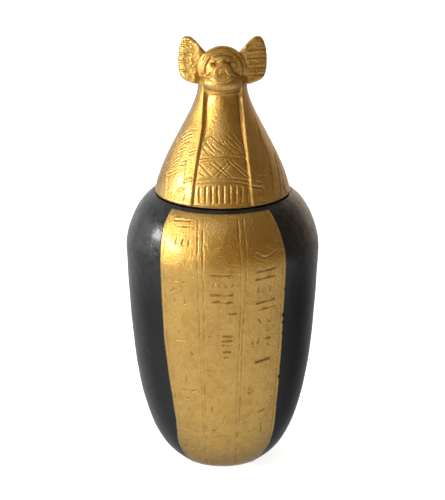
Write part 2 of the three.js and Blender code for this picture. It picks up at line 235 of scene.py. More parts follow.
def read(mesh, what):
    values = np.empty(len(mesh.vertices) * 3)
    mesh.vertices.foreach_get(what, values)
    return values.reshape(-1, 3)


def write(mesh, points):
    mesh.vertices.foreach_set("co", points.ravel())
    mesh.update()


def write_attribute(mesh, name, values):
    attribute = mesh.attributes.new(name, "FLOAT", "POINT")
    attribute.data.foreach_set("value", np.asarray(values, np.float32))


def rough_field(points, size, seed):
    """Soft noise from -1 to 1 whose bumps are about one size across."""
    shift = Vector((seed * 17.3, seed * 5.1, seed * 11.7))
    return np.array([noise.noise(Vector(point) / size + shift) for point in points])


def lumpy(points, layers):
    """Hand-made unevenness in millimetres: each layer gives its height, size and seed."""
    return sum(height * rough_field(points, size, seed) for height, size, seed in layers)


def on_skin(points, surface, low, high):
    """Whether each point lies on the outside of a turned surface, between two heights."""
    outside = np.hypot(points[:, 0], points[:, 1]) > surface.radius(points[:, 2]) - SKIN_GAP
    return outside & (points[:, 2] > low) & (points[:, 2] < high)


# Lines cut in a surface


class TurnedSurface:
    """A place on a turned outline, by its angle or x from the front and its height."""

    def __init__(self, outline):
        self.outline = outline

    def radius(self, height):
        return np.interp(height, self.outline[:, 1], self.outline[:, 0])

    def at_angles(self, degrees, heights):
        turn = np.radians(degrees)
        radius = self.radius(heights)
        return np.stack([radius * np.sin(turn), -radius * np.cos(turn), heights], axis=-1)

    def at_x(self, x, heights):
        share = np.clip(x / self.radius(heights), -1, 1)
        return self.at_angles(np.degrees(np.arcsin(share)), heights)


def filled(line):
    """A line of (across, up) points with more points between, for bending it over a surface."""
    return evenly(np.array(line, float), 1.0)


def curved(line, pitch=0.8):
    """A smooth line through the middles of the given stretches."""
    line = np.array(line, float)
    for _ in range(3):
        inner = [line[0]]
        for a, b in zip(line, line[1:]):
            inner += [0.75 * a + 0.25 * b, 0.25 * a + 0.75 * b]
        inner.append(line[-1])
        line = np.array(inner)
    return evenly(line, pitch)


def distance_to_line(points, line):
    """How far each point is from the nearest stretch of the line."""
    nearest = np.full(len(points), np.inf)
    for a, b in zip(line, line[1:]):
        along = b - a
        share = np.clip((points - a) @ along / max(along @ along, 1e-9), 0, 1)
        gap = points - a - share[:, None] * along
        nearest = np.minimum(nearest, np.einsum("ij,ij->i", gap, gap))
    return np.sqrt(nearest)


def carve(points, cuts):
    """The depth of the cut lines at each point and the height of the lips beside them."""
    depth = np.zeros(len(points))
    lip = np.zeros(len(points))
    for line, width, deep in cuts:
        reach = width * 1.6
        low, high = line.min(axis=0) - reach, line.max(axis=0) + reach
        near = np.flatnonzero(((points > low) & (points < high)).all(axis=1))
        if len(near) == 0:
            continue
        gap = distance_to_line(points[near], line) / (width / 2)
        bite = deep * (1 - smoothstep(0.15, 1.0, gap))
        edge = deep * 0.22 * smoothstep(0.7, 1.25, gap) * (1 - smoothstep(1.25, 2.3, gap))
        depth[near] = np.maximum(depth[near], bite)
        lip[near] = np.maximum(lip[near], edge)
    return depth, lip * (depth < 0.05)


# Node trees


class Value:
    """A number from a socket, so that Python sums add their Math nodes."""

    def __init__(self, tree, socket):
        self.tree = tree
        self.socket = socket

    def maths(self, operation, *others, swap=False, clamp=False):
        terms = [self, *others]
        if swap:
            terms.reverse()
        node = self.tree.nodes.new("ShaderNodeMath")
        node.operation = operation
        node.use_clamp = clamp
        for i, term in enumerate(terms):
            if isinstance(term, Value):
                self.tree.links.new(term.socket, node.inputs[i])
            else:
                node.inputs[i].default_value = term
        return Value(self.tree, node.outputs[0])

    def __add__(self, other):
        return self.maths("ADD", other)

    __radd__ = __add__

    def __mul__(self, other):
        return self.maths("MULTIPLY", other)

    __rmul__ = __mul__

    def __sub__(self, other):
        return self.maths("SUBTRACT", other)

    def __rsub__(self, other):
        return self.maths("SUBTRACT", other, swap=True)

    def clamped(self):
        return self.maths("ADD", 0.0, clamp=True)


class Nodes:
    """A node tree whose nodes are added one by one."""

    def __init__(self, tree):
        self.tree = tree

    def node(self, kind, settings=None, **inputs):
        """Adds a node: first its settings, then the values or links of its sockets."""
        node = self.tree.nodes.new(kind)
        for setting, value in (settings or {}).items():
            setattr(node, setting, value)
        for name, value in inputs.items():
            self.feed(self.socket(node, name), value)
        return node

    def socket(self, node, name):
        """The input of that name which the node's settings leave in use."""
        plain = name.replace("_", " ")
        return next(socket for socket in node.inputs if socket.name == plain and socket.enabled)

    def feed(self, socket, value):
        if isinstance(value, Value):
            value = value.socket
        if isinstance(value, bpy.types.NodeSocket):
            self.tree.links.new(value, socket)
        elif hasattr(value, "__len__") and len(value) == 3 and len(socket.default_value) == 4:
            socket.default_value = (*value, 1.0)
        else:
            socket.default_value = value

    def step(self, value, low, high, start=0.0, end=1.0):
        """Runs smoothly from start to end as the value goes from low to high."""
        node = self.node(
            "ShaderNodeMapRange",
            {"interpolation_type": "SMOOTHSTEP"},
            Value=value,
            From_Min=low,
            From_Max=high,
            To_Min=start,
            To_Max=end,
        )
        return Value(self.tree, node.outputs["Result"])

    def mix(self, share, first, second):
        """A colour between two colours."""
        node = self.node("ShaderNodeMix", {"data_type": "RGBA"}, Factor=share, A=first, B=second)
        return next(socket for socket in node.outputs if socket.enabled)


class Paint(Nodes):
    """A material with one shader."""

    def __init__(self, name):
        self.material = bpy.data.materials.new(name)
        self.material.use_nodes = True
        super().__init__(self.material.node_tree)
        self.shader = self.tree.nodes["Principled BSDF"]
        self.place = self.node("ShaderNodeTexCoord").outputs["Object"]

    def set(self, **inputs):
        for name, value in inputs.items():
            self.feed(self.shader.inputs[name.replace("_", " ")], value)

    def attribute(self, name):
        node = self.node("ShaderNodeAttribute", {"attribute_name": name})
        return Value(self.tree, node.outputs["Fac"])

    def grain(self, size, detail=2.0, roughness=0.5, stretch=(1.0, 1.0, 1.0)):
        """Noise from 0 to 1 whose spots are about one size across, in metres."""
        place = self.node(
            "ShaderNodeMapping",
            {"vector_type": "POINT"},
            Vector=self.place,
            Scale=stretch,
        )
        node = self.node(
            "ShaderNodeTexNoise",
            Vector=place.outputs["Vector"],
            Scale=1.0 / size,
            Detail=detail,
            Roughness=roughness,
        )
        return Value(self.tree, node.outputs["Fac"])

    def cells(self, size):
        """Distance to the nearest of points scattered about one size apart."""
        node = self.node(
            "ShaderNodeTexVoronoi",
            {"feature": "F1"},
            Vector=self.place,
            Scale=1.0 / size,
            Randomness=1.0,
        )
        return Value(self.tree, node.outputs["Distance"])

    def bump(self, height):
        """The normal of a surface with the given height, in millimetres."""
        node = self.node("ShaderNodeBump", Height=height, Distance=MM, Strength=1.0)
        return node.outputs["Normal"]


# Sizes of the marks in the paint, in metres
GOLD_CLOUD = 0.009
GOLD_BLOTCH = 0.0022
GOLD_SPECKLE = 0.00065
PINHOLE_PITCH = 0.0042
BLACK_CLOUD = 0.012
BLACK_BLOTCH = 0.0028
BRUSH_MARK = 0.0011
RAGGED_EDGE = 0.0012

# The clear gloss over the gold and over the rubbed shoulders
COAT_ROUGHNESS = 0.16
GOLD_COAT = 0.5
SHOULDER_COAT = 0.5


def gold_look(paint, colours):
    """Colour, roughness, metal share and bump height, in millimetres, of the gold paint."""
    cut = paint.attribute("cut")
    cloud = paint.grain(GOLD_CLOUD, 3.0)
    blotch = paint.grain(GOLD_BLOTCH, 4.0, 0.6)
    speckle = paint.grain(GOLD_SPECKLE, 3.0, 0.7)
    thin = paint.step(blotch * 0.55 + cloud * 0.45, 0.42, 0.66)
    colour = paint.mix(thin * 0.45, colours.gold, colours.gold_shade)
    dark_speck = paint.step(speckle, 0.55, 0.7)
    colour = paint.mix(dark_speck * 0.75, colour, colours.gold_shade)
    pinhole = paint.step(paint.cells(PINHOLE_PITCH), 0.035, 0.075, 1.0, 0.0)
    pinhole = pinhole * paint.step(cloud, 0.44, 0.52)
    # Brown in the cut lines is partly grime and partly painted shade in the hollows; the dark pinholes are
    # real
    grime_and_painted_shade = (paint.step(cut * (blotch * 0.9 + 0.6), 0.25, 1.0) * 0.52 + pinhole * 0.75).clamped()
    colour = paint.mix(grime_and_painted_shade, colour, colours.grime_and_painted_shade)
    roughness = 0.20 + speckle * 0.14 + blotch * 0.1 + grime_and_painted_shade * 0.4
    metal = 1.0 - grime_and_painted_shade * 0.7
    height = speckle * 0.24 + blotch * 0.12 - pinhole * 0.25
    return colour, roughness, metal, height


def black_look(paint, colours):
    """Colour, roughness and bump height, in millimetres, of the black paint."""
    cloud = paint.grain(BLACK_CLOUD, 3.0)
    blotch = paint.grain(BLACK_BLOTCH, 4.0, 0.62)
    brushed = paint.grain(BRUSH_MARK, 3.0, 0.6, stretch=(1.0, 1.0, 0.45))
    rubbed = paint.attribute("rubbed")
    scuff = (paint.step(blotch * 0.6 + cloud * 0.4, 0.44, 0.6) * rubbed).clamped()
    colour = paint.mix(scuff * 0.45, colours.black, colours.scuff)
    roughness = 0.19 + scuff * 0.2 + brushed * 0.1
    height = blotch * 0.07 * (rubbed * 5.0 + 0.4) + brushed * 0.035
    return colour, roughness, height


def jar_paint(colours):
    """Black paint, and gold on the panel, with a painted highlight as a pale line along the panel's raised
    edge.
    """
    paint = Paint("jar_paint")
    edge = paint.attribute("panel")
    ragged = paint.grain(RAGGED_EDGE, 3.0, 0.6)
    gold_share = paint.step(edge + (ragged - 0.5) * 0.5, -0.06, 0.06)
    worn = paint.attribute("worn")
    rubbed = paint.attribute("rubbed")
    chipped = paint.step(worn * 1.6 - ragged, 0.3, 0.36)
    gold_share = (gold_share * (1.0 - chipped)).clamped()
    gold, gold_rough, metal, gold_height = gold_look(paint, colours)
    # Painted highlight along the raised edge of the panel, broken by noise
    along_edge = paint.step((edge - 0.12).maths("ABSOLUTE"), 0.08, 0.3, 1.0, 0.0)
    edge_highlight_mask = (along_edge * paint.step(ragged, 0.42, 0.56)).clamped()
    gold = paint.mix(edge_highlight_mask * 0.6, gold, colours.painted_edge_highlight)
    black, black_rough, black_height = black_look(paint, colours)
    paint.set(
        Base_Color=paint.mix(gold_share, black, gold),
        Roughness=black_rough + gold_share * (gold_rough - black_rough),
        Metallic=gold_share * metal,
        Specular_IOR_Level=0.22,
        Coat_Weight=gold_share * GOLD_COAT + (1.0 - gold_share) * rubbed * SHOULDER_COAT,
        Coat_Roughness=COAT_ROUGHNESS,
        Normal=paint.bump(black_height + gold_share * (gold_height - black_height + 0.03)),
    )
    return paint.material


def lid_paint(colours):
    """Gold paint with brown in the cut lines, partly grime and partly painted shade, and painted shade
    along the rim.
    """
    paint = Paint("lid_paint")
    colour, roughness, metal, height = gold_look(paint, colours)
    paint.set(
        Base_Color=colour,
        Roughness=roughness,
        Metallic=metal,
        Coat_Weight=GOLD_COAT,
        Coat_Roughness=COAT_ROUGHNESS,
        Normal=paint.bump(height),
    )
    return paint.material


# Finished pieces


def finish_piece(mesh, name, node, material):
    """Puts a mesh made in millimetres into the frame in place of its solid."""
    mesh.transform(Matrix.Scale(MM, 4))
    mesh.materials.clear()
    mesh.materials.append(material)
    mesh.polygons.foreach_set("use_smooth", [True] * len(mesh.polygons))
    mesh.update()
    piece = bpy.data.objects.new(name, mesh)
    bpy.context.scene.collection.objects.link(piece)
    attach(piece, "root")
    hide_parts(node)
    return piece


# The jar

# Steps of the mesh: the columns' in degrees (in front, behind, where the fine ones end), the rows' in mm
JAR_COLUMNS = (0.57, 3.6, 43)
ROW_PITCH = 0.33
BELLY_SOFTENING = 50

# Lumps as (height, size, seed), how far the skin sinks to stay in its box, and where lumps begin
JAR_LUMPS = ((0.10, 9.0, 1), (0.05, 3.2, 2))
JAR_SINK = 0.15
SHARP_FOOT = 2.0
FAR_FROM_PANEL = -20.0

# The panel's edges as (height, angle from the front), and its chips as (angle, height, radius)
PANEL_LEFT = [(4, -39.6), (11, -39.8), (16, -37.2), (21, -35.5), (30, -35.6), (40, -36.7),
              (50, -37.9), (60, -38.3), (78, -38.4), (83, -39.4), (90, -41.6), (95, -41.8)]
PANEL_RIGHT = [(4, 41.6), (10, 44.2), (16, 43.0), (22, 41.4), (28, 40.0), (40, 39.2),
               (60, 39.1), (78, 39.8), (84, 39.6), (90, 38.8), (95, 37.4)]
PANEL_TOP = 95.4
CHIPS = ((38.4, 60.4, 0.75), (38.5, 57.6, 0.6), (38.6, 37.6, 0.7), (39.2, 69.5, 0.5), (38.7, 53.6, 0.45))

# The double lines between the panel's columns: the seed of the wavering, then (x, height) places
COLUMN_LINES = (
    (4.4, (-7.9, 94), (-8.3, 82), (-8.1, 72), (-7.7, 60), (-7.2, 48), (-6.7, 30), (-6.2, 15), (-5.8, 3)),
    (5.1, (-6.3, 94), (-6.5, 82), (-6.2, 68), (-6.0, 52), (-6.1, 40), (-5.6, 28), (-5.4, 14), (-5.2, 3)),
    (
        6.3,
        (5.0, 94), (5.8, 85), (6.3, 76), (6.1, 66), (5.7, 54), (5.1, 40), (4.8, 28), (4.9, 16), (4.5, 3),
    ),
    (
        7.2,
        (6.7, 94), (7.7, 86), (8.0, 78), (7.4, 66), (6.7, 54), (6.4, 40), (5.8, 28), (5.6, 18), (5.2, 10),
    ),
)


def jar_outline(sizes):
    """The outer outline from the edge of the base to the seat."""
    base, belly = sizes.base_radius / MM, sizes.belly_radius / MM
    seat = sizes.seat_radius / MM
    wide, high = sizes.belly_height / MM, sizes.height / MM
    flank = bezier([(base, 0), (base + 17.5, 8.5), (belly - 1.5, wide - 25.2), (belly, wide)], 600)
    shoulder = bezier([(belly, wide), (belly, wide + 4.9), (seat + 4.7, high - 1.6), (seat, high)], 300)
    line = evenly(np.concatenate([flank, shoulder[1:]]), 0.4)
    for _ in range(BELLY_SOFTENING):
        line[1:-1] = (line[:-2] + 2 * line[1:-1] + line[2:]) / 4
    return line


def jar_shell(sizes):
    """The jar's closed outline: underside, flank, seat, mouth, inner wall and floor."""
    outer = jar_outline(sizes)
    high, wall, floor, mouth = (
        value / MM for value in (sizes.height, sizes.wall, sizes.floor, sizes.mouth_radius)
    )
    roof = high - wall
    inner = offset(outer, -wall)
    inner = inner[(inner[:, 1] > floor) & (inner[:, 1] < roof)]
    foot = inner[0, 0] - 1.5
    return np.concatenate([
        evenly(np.array([[0, 0], [outer[0, 0] - 0.4, 0]]), 2.5),
        evenly(outer, ROW_PITCH)[1:],
        evenly(np.array([[outer[-1, 0] - 0.5, high], [mouth, high]]), 2.5),
        np.array([[mouth, roof]]),
        evenly(inner, 3.2)[::-1],
        np.array([[foot, floor], [foot / 2, floor], [0, floor]]),
    ])


def wobbly(line, seed, amount=0.12):
    """The same line as a hand would draw it."""
    shake = [[noise.noise(Vector((x * 0.35, y * 0.35, seed * 3.7 + axis * 9.1))) for axis in (0, 1)]
             for x, y in line]
    return line + amount * np.array(shake)


def jar_strokes():
    """Rows of plain strokes in the three columns, as (x, height) lines with width and depth."""
    strokes = []

    def cut(*line, width=0.75, deep=1.0):
        strokes.append((curved(line) if len(line) > 2 else filled(line), width, deep))

    def ticks(places, high, low, lean=0.4, **look):
        for x in places:
            cut((x + lean / 2, high), (x - lean / 2, low), **look)

    def dot(x, height, width=0.9, deep=0.8):
        cut((x, height + 0.1), (x, height - 0.1), width=width, deep=deep)

    # Left column
    cut((-15.8, 92.7), (-10.4, 93.3), width=0.8)
    cut((-15.2, 91.2), (-9.9, 91.8), width=0.65)
    ticks((-15.2, -13.1, -11.0), 87.6, 86.1, lean=0.5)
    dot(-13.2, 79.9)
    cut((-16.0, 73.8), (-14.6, 73.8))
    cut((-13.2, 73.6), (-12.3, 73.5))
    ticks((-16.3, -13.5), 71.2, 69.9)
    ticks((-16.0, -12.4), 67.4, 65.6, width=0.65)
    ticks((-14.3,), 56.3, 54.7, lean=0.9)
    dot(-15.8, 49.7)
    ticks((-10.2,), 48.8, 47.3, lean=-0.6, width=0.8)
    ticks((-12.1,), 39.0, 37.2, lean=0.1)
    cut((-13.3, 34.2), (-11.2, 33.6), (-9.0, 34.3), width=0.8)
    dot(-12.3, 22.8)
    # Middle column
    cut((-2.9, 85.6), (0.0, 86.2), (2.3, 86.0), deep=0.6)
    cut((-3.9, 76.9), (3.4, 76.9), width=0.8)
    ticks((-2.9, -0.8, 1.3, 3.4), 74.1, 72.9, width=0.65)
    cut((-4.0, 70.0), (3.6, 70.0), width=0.85, deep=1.2)
    cut((-3.5, 67.4), (3.3, 67.4), width=0.85, deep=1.2)
    cut((2.2, 63.2), (4.6, 63.4))
    dot(-3.8, 61.2)
    dot(-0.6, 61.5, width=0.7)
    for height, half in ((55.2, 1.6), (53.5, 1.6), (51.8, 1.6), (49.4, 1.3), (47.4, 0.8)):
        cut((1.65 - half, height), (1.65 + half, height), width=0.78)
    dot(2.5, 45.2, deep=1.1)
    cut((-4.6, 42.8), (-3.4, 42.3), (-2.3, 42.2), deep=0.6)
    dot(-4.5, 40.5)
    ticks((-1.0,), 30.7, 29.0, lean=0.1)
    ticks((2.0,), 30.4, 29.6, lean=0.1, width=0.65)
    ticks((-3.4,), 28.2, 26.8, lean=0.2, width=0.65)
    cut((-3.3, 18.8), (-2.4, 18.8))
    dot(-3.1, 13.5)
    # Right column
    dot(9.7, 91.1)
    cut((11.2, 83.5), (12.7, 82.3), (14.4, 81.8), (16.2, 82.3), (17.8, 83.6), width=0.85)
    cut((11.2, 77.5), (17.4, 78.1), width=0.85)
    cut((11.0, 74.8), (17.4, 75.4), width=0.85)
    ticks((11.9, 13.9, 15.9), 71.9, 70.5, width=0.65)
    cut((11.3, 66.3), (17.3, 67.2), width=0.85)
    cut((11.6, 63.8), (17.3, 64.7), width=0.75)
    ticks((12.4, 15.2), 60.9, 59.2, lean=-0.9)
    cut((14.6, 56.2), (16.3, 56.4))
    ticks((10.2, 12.0), 53.4, 52.0, lean=0.6, width=0.8)
    cut((14.2, 53.2), (15.9, 53.5))
    dot(15.2, 51.0, width=1.2, deep=1.2)
    cut((11.0, 44.8), (16.0, 45.6), width=0.9, deep=1.2)
    ticks((9.2,), 39.8, 38.6, lean=0.1)
    dot(13.0, 38.6)
    for height in (35.0, 33.3):
        cut((8.8, height), (10.1, height))
    dot(7.8, 25.5)
    cut((11.6, 25.1), (14.8, 26.2), width=0.8)
    ticks((8.9,), 17.9, 16.9, lean=0.1, width=0.65)
    ticks((13.2,), 20.6, 17.0, lean=-0.2)
    # Fainter rows where the panel is worn
    faint = {"width": 0.7, "deep": 0.6}
    bars = ((-13.8, 52.6), (-12.6, 30.8), (-11.6, 18.4), (-0.6, 36.2), (-0.4, 16.3), (11.4, 22.4))
    for x, height in bars:
        cut((x - 1.6, height), (x + 1.6, height + 0.2), **faint)
    pairs = ((-14.4, 61.5), (-13.6, 45.2), (-12.2, 27.8), (-0.6, 24.2), (11.0, 30.6), (-11.0, 11.6))
    for x, height in pairs:
        ticks((x - 1.3, x + 1.1), height, height - 1.9, **faint)
    return strokes


def jar_cuts(sizes, surface):
    """Every line cut in the panel, as places on the surface with width and depth."""
    cuts = []
    line_deep = sizes.line_depth / MM
    stroke_deep = sizes.stroke_depth / MM
    heights = np.linspace(2.0, 94.2, 120)
    for side, edge in ((1, PANEL_LEFT), (-1, PANEL_RIGHT)):
        knots = np.array(edge, float)
        angles = np.interp(heights, knots[:, 0], knots[:, 1]) + side * 2.3
        line = wobbly(np.stack([angles, heights], axis=1), side + 4, 0.25)
        cuts.append((surface.at_angles(line[:, 0], line[:, 1]), 0.6, line_deep * 0.85))
    for seed, *column in COLUMN_LINES:
        line = wobbly(curved(column), seed, 0.12)
        cuts.append((surface.at_x(line[:, 0], line[:, 1]), 0.6, line_deep))
    top = np.stack([np.linspace(-39, 35, 60), np.full(60, 94.2)], axis=1)
    cuts.append((surface.at_angles(top[:, 0], top[:, 1]), 0.5, line_deep * 0.3))
    for i, (stroke, width, deep) in enumerate(jar_strokes()):
        line = wobbly(stroke, i)
        cuts.append((surface.at_x(line[:, 0], line[:, 1]), width, stroke_deep * deep))
    return cuts


def panel_edge(points, surface):
    """How far each point lies inside the panel, in millimetres."""
    height = points[:, 2]
    angle = np.degrees(front_angle(points))
    radius = np.hypot(points[:, 0], points[:, 1])
    left, right = (np.array(edge, float) for edge in (PANEL_LEFT, PANEL_RIGHT))
    from_left = angle - np.interp(height, left[:, 0], left[:, 1])
    from_right = np.interp(height, right[:, 0], right[:, 1]) - angle
    sideways = np.radians(np.minimum(from_left, from_right)) * radius
    reach = travelled(surface.outline)
    along = np.interp(height, surface.outline[:, 1], reach)
    from_top = np.interp(PANEL_TOP, surface.outline[:, 1], reach) - along
    return np.minimum(sideways, from_top)


def blobs(points, places):
    """Soft spots from 0 to 1 round the given places, each with its radius."""
    amount = np.zeros(len(points))
    for place, radius in places:
        gap = np.linalg.norm((points - place) * (1.0, 1.0, 0.5), axis=1)
        amount = np.maximum(amount, 1 - smoothstep(0.2 * radius, radius, gap))
    return amount


def carve_jar(mesh, sizes, surface):
    """Raises the panel, cuts its lines, and writes where each paint lies and how worn it is."""
    points = read(mesh, "co")
    outward = read(mesh, "normal")
    outside = on_skin(points, surface, 0.05, sizes.height / MM - 0.02)
    skin = np.flatnonzero(outside)
    edge = np.full(len(points), FAR_FROM_PANEL)
    edge[skin] = panel_edge(points[skin], surface)
    depth = np.zeros(len(points))
    lip = np.zeros(len(points))
    depth[skin], lip[skin] = carve(points[skin], jar_cuts(sizes, surface))
    depth[skin] *= 0.35 + 0.65 * smoothstep(-0.35, 0.25, rough_field(points[skin], 2.6, 7))
    lumps = np.zeros(len(points))
    lumps[skin] = lumpy(points[skin], JAR_LUMPS)
    raised = sizes.panel_raise / MM * smoothstep(-0.35, 0.3, edge)
    move = raised + (lip * 0.8 - depth) * smoothstep(0.0, 0.5, edge) + lumps - JAR_SINK
    move *= smoothstep(0, SHARP_FOOT, points[:, 2])
    write(mesh, points + outward * np.where(outside, move, 0)[:, None])
    chips = [(surface.at_angles(angle, height), radius) for angle, height, radius in CHIPS]
    write_attribute(mesh, "panel", edge)
    # The cut depth darkens the gold: partly grime, partly painted shade in the lines
    write_attribute(mesh, "cut", depth / (sizes.stroke_depth / MM))
    write_attribute(mesh, "worn", blobs(points, chips))
    write_attribute(mesh, "rubbed", 0.12 + 0.88 * smoothstep(60, 84, points[:, 2]))


class CANOPIC_OT_make_jar(bpy.types.Operator):
    """Makes the jar's body with its raised and cut front panel"""

    bl_idname = "canopic.make_jar"
    bl_label = "Make jar"

    def execute(self, context):
        sizes = context.scene.canopic_jar
        surface = TurnedSurface(jar_outline(sizes))
        mesh = turned_shell("jar_body", jar_shell(sizes), column_turns(*JAR_COLUMNS))
        carve_jar(mesh, sizes, surface)
        finish_piece(mesh, "jar_body", "jar", jar_paint(context.scene.canopic_colours))
        return {"FINISHED"}


# The lid

# Steps, lumps and sinking, as for the jar
WIG_COLUMNS = (0.95, 3.0, 95)
WIG_ROW_PITCH = 0.27
WIG_LUMPS = ((0.07, 5.0, 3), (0.04, 2.2, 4))
WIG_SINK = 0.08

# The head's middle above the wig, its melting step, and each ear's root and (x, height) middle
HEAD_RISE = 5.4
HEAD_VOXEL = 0.21
EAR_ROOT = 7.5
EAR_MIDDLE = (10.6, 141.6)

# Edges shorter than this are slivers of a join
SLIVER = 0.004


def wig_outline(sizes):
    """The wig's outer outline from the rim to the head."""
    low, rim, neck = (value / MM for value in (sizes.rim_height, sizes.rim_radius, sizes.neck_radius))
    top = low + sizes.wig_height / MM
    return bezier([(rim, low), (rim - 3.0, low + 15.2), (neck, top - 8.6), (neck, top)], 600)


def lid_shell(sizes):
    """The closed outline of the lid without its head: spigot, underside, rim, wig and neck."""
    wig = wig_outline(sizes)
    low = sizes.rim_height / MM
    rim = sizes.rim_radius / MM
    rounding = bezier(
        [(rim - 0.9, low), (rim - 0.3, low), (rim - 0.05, low + 0.2), (rim - 0.14, low + 0.9)],
        5,
    )
    above = wig[wig[:, 1] > low + 1.0]
    top = wig[-1]
    return np.concatenate([
        np.array([[0, low - 4], [7, low - 4], [14.2, low - 4], [14.5, low - 3.7], [14.5, low]]),
        np.array([[17.5, low], [20.5, low]]),
        rounding,
        evenly(above, WIG_ROW_PITCH),
        np.array([[top[0] - 0.3, top[1] + 3.0], [top[0] - 2.5, top[1] + 3.4], [0, top[1] + 3.4]]),
    ])


def crease(share, side):
    """Half the width of the chest at a share of the wig's height, on one side."""
    if side < 0:
        knots = np.array([(0.0, 10.5), (0.24, 9.6), (0.4, 8.6), (0.57, 7.5), (0.66, 6.9), (0.95, 6.5)])
    else:
        knots = np.array([(0.0, 10.1), (0.24, 9.3), (0.4, 8.5), (0.57, 7.7), (0.7, 7.1), (0.95, 6.5)])
    return np.interp(share, knots[:, 0], knots[:, 1])


def wig_cuts(sizes, surface):
    """Lines of the wig and the chest, as places on the surface with width and depth."""
    cuts = []
    low, tall = sizes.rim_height / MM, sizes.wig_height / MM
    deep = sizes.carving_depth / MM

    def on_chest(*line, width=0.5, share_deep=1.0):
        places = filled([(x, low + share * tall) for x, share in line])
        places = wobbly(places, len(cuts), 0.1)
        cuts.append((surface.at_x(places[:, 0], places[:, 1]), width, deep * share_deep))

    def on_wig(*line, width=0.5, share_deep=1.0):
        knots = np.array(line, float)
        along = np.linspace(0, len(knots) - 1, 24)
        angle, share = (np.interp(along, np.arange(len(knots)), knots[:, i]) for i in (0, 1))
        places = surface.at_angles(angle, low + share * tall)
        cuts.append((places, width, deep * share_deep))

    def arch(share, half, **look):
        on_chest(*[(x, share - 0.045 * (x / 10) ** 2) for x in np.linspace(-half, half, 9)], **look)

    for share, half in ((0.238, 8.8), (0.272, 8.9)):
        arch(share, half, width=0.55)
    arch(0.447, 8.0, width=0.5)
    on_chest((-8.0, 0.392), (-5.5, 0.413), (-3.0, 0.428), width=0.45)
    for i in range(9):
        x = -7.9 + i * 2.09
        on_chest((x, 0.055), (x * 0.99, 0.205 - 0.04 * (x / 10) ** 2), width=0.8, share_deep=1.2)
    for line in (
        [(-8.0, 0.38), (-3.6, 0.28)], [(-8.0, 0.31), (-6.0, 0.28)],
        [(-4.3, 0.39), (-2.0, 0.35), (2.0, 0.275)], [(-2.7, 0.41), (0.0, 0.35), (3.2, 0.275)],
        [(1.3, 0.39), (-3.2, 0.28)], [(2.7, 0.385), (-1.4, 0.28)],
    ):
        on_chest(*line, width=0.48)
    for line in ([(1.7, 0.415), (8.2, 0.265)], [(3.3, 0.41), (8.6, 0.29)]):
        on_chest(*line, width=0.55, share_deep=1.3)
    for line in (
        [(-6.3, 0.575), (-3.0, 0.485)], [(-3.7, 0.61), (0.7, 0.53)], [(-7.3, 0.525), (-3.0, 0.455)],
        [(-6.3, 0.495), (-4.3, 0.455)], [(3.0, 0.64), (7.0, 0.525)], [(1.3, 0.625), (6.0, 0.515)],
        [(-1.0, 0.575), (4.6, 0.46)], [(-4.0, 0.545), (0.0, 0.475)], [(-4.3, 0.615), (-6.7, 0.565)],
        [(4.7, 0.515), (7.0, 0.465)], [(-5.4, 0.56), (-7.3, 0.50)], [(1.6, 0.57), (5.4, 0.49)],
        [(2.4, 0.52), (0.2, 0.57)], [(6.2, 0.50), (4.2, 0.56)],
    ):
        on_chest(*line, width=0.45, share_deep=0.9)
    # Left front edge of the wig
    for line in (
        [(-54, 0.55), (-46, 0.585)], [(-53, 0.525), (-46, 0.56)], [(-42, 0.455), (-33, 0.485)],
        [(-41, 0.43), (-31, 0.46)], [(-48, 0.365), (-42, 0.39)], [(-48, 0.335), (-40, 0.36)],
        [(-38, 0.235), (-29, 0.26)], [(-38, 0.205), (-29, 0.23)], [(-44, 0.125), (-38, 0.155)],
        [(-44, 0.10), (-38, 0.13)], [(-60, 0.21), (-49, 0.28)], [(-62, 0.235), (-50, 0.305)],
    ):
        on_wig(*line, width=0.42, share_deep=1.1)
    on_wig((-42, 0.39), (-39, 0.29), (-36, 0.15), (-35, 0.04), width=0.45)
    on_wig((-49, 0.25), (-46, 0.13), (-46, 0.02), width=0.5)
    on_wig((-64, 0.24), (-59, 0.16), (-55, 0.03), width=0.45)
    for i in range(10):
        start = -84 + i * 0.7
        on_wig(
            (start, 0.04 + i * 0.049),
            (start + 11, 0.15 + i * 0.046),
            (start + 22, 0.25 + i * 0.042),
            (start + 30, 0.31 + i * 0.037),
            width=0.4,
            share_deep=0.65,
        )
    # Right front edge of the wig
    on_wig((28, 0.18), (39, 0.155), width=0.9, share_deep=1.4)
    on_wig((33, 0.215), (39, 0.195), width=0.5)
    on_wig((40, 0.18), (38, 0.1), (37, 0.03), width=0.55)
    on_wig((69, 0.71), (62, 0.62), (53, 0.45), (44, 0.28), (41, 0.19), width=0.4, share_deep=0.6)
    on_wig(
        (66, 0.67), (61, 0.53), (60, 0.44), (57, 0.32), (51, 0.15), (49, 0.02),
        width=0.55, share_deep=1.2,
    )
    on_wig((76, 0.38), (72, 0.33), (66, 0.21), (59, 0.03), width=0.5)
    on_wig((64, 0.13), (75, 0.0), width=0.5)
    on_wig((84, 0.42), (78, 0.31), (73, 0.2), (68, 0.03), width=0.45, share_deep=0.8)
    on_wig((88, 0.3), (82, 0.18), (78, 0.03), width=0.45, share_deep=0.8)
    for i in range(9):
        start = (36 + 1.2 * i, 0.26 + 0.036 * i)
        end = (50 + 0.8 * i, 0.24 + 0.04 * i)
        on_wig(start, end, width=0.38, share_deep=0.5)
    # Back of the wig
    for i in range(11):
        angle = 108 + i * 14.4
        on_wig((angle, 0.04), (angle, 0.74), width=0.5, share_deep=0.9)
    on_wig(*[(angle, 0.035) for angle in range(100, 261, 4)], width=0.5)
    return cuts


def ball(shape, centre, radii, head, sides=28):
    """Adds a stretched ball, with its place and radii in shares of the head's radius."""
    middle, radius = head
    place = Matrix.Translation(middle + radius * Vector(centre))
    matrix = place @ Matrix.Diagonal((*[radius * size for size in radii], 1))
    rings = sides * 2 // 3
    bmesh.ops.create_uvsphere(shape, u_segments=sides, v_segments=rings, radius=1, matrix=matrix)


